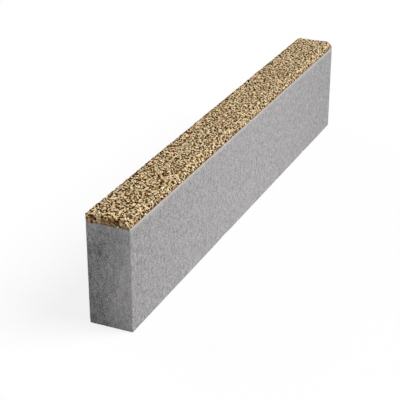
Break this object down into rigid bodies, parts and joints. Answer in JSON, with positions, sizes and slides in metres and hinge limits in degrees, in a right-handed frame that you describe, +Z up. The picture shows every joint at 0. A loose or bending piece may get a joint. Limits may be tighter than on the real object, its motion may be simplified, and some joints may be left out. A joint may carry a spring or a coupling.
{
  "type": "concrete kerb stone",
  "caption": "Straight concrete kerb stone: a grey pressed-concrete block with a tan stone-chip facing on top and a chamfered face edge, laid end to end along paths and lawns.",
  "frame": {"origin": "centre of the base, at the level of the bed that it stands on", "axes": "+X along the length, +Y from the chamfered face edge to the plain back, +Z up"},
  "size_m": [1, 0.08, 0.2],
  "materials": {
    "grey_concrete": "fine-pored pressed concrete, matt",
    "tan_stone_chip_facing": "washed facing of tan, cream, brown and near-black stone chips"
  },
  "bodies": {
    "root": {"concrete_body": "grey_concrete", "facing_layer": "tan_stone_chip_facing"}
  },
  "joints": []
}
